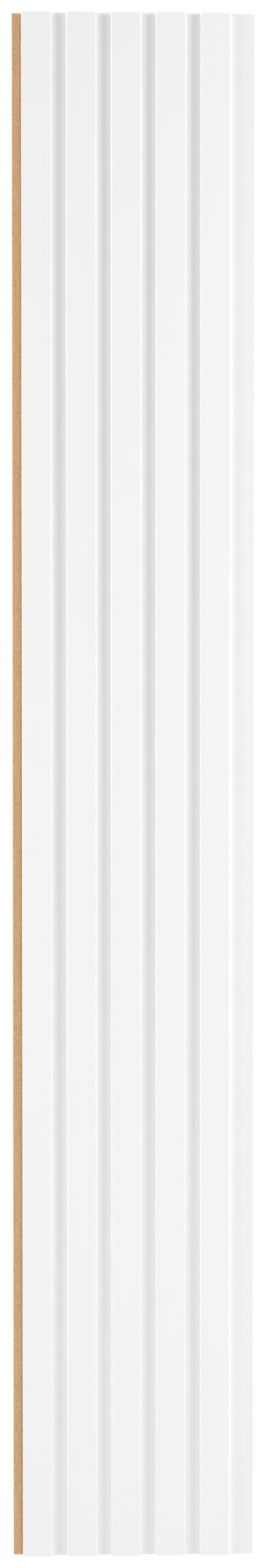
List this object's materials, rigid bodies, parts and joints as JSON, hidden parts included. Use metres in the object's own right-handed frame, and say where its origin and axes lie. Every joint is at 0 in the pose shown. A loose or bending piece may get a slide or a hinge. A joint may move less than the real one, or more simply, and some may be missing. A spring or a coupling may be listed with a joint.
{
  "type": "acoustic panel",
  "caption": "Long flat wall panel of moulded board with square slats and grooves on a white face, a tongue along one edge and a slot above a raw lip along the other.",
  "frame": {"origin": "on the plane of the back, under the middle of the panel's outline", "axes": "+X across the panel from the lip to the tongue, +Y along the panel, +Z out of the slatted face"},
  "size_m": [0.407, 2.6, 0.016],
  "materials": {
    "white_coated_board": "satin white coating on fibreboard, raw at the lip, the edges and the back"
  },
  "bodies": {
    "root": {"slatted_panel": "white_coated_board"}
  },
  "joints": []
}
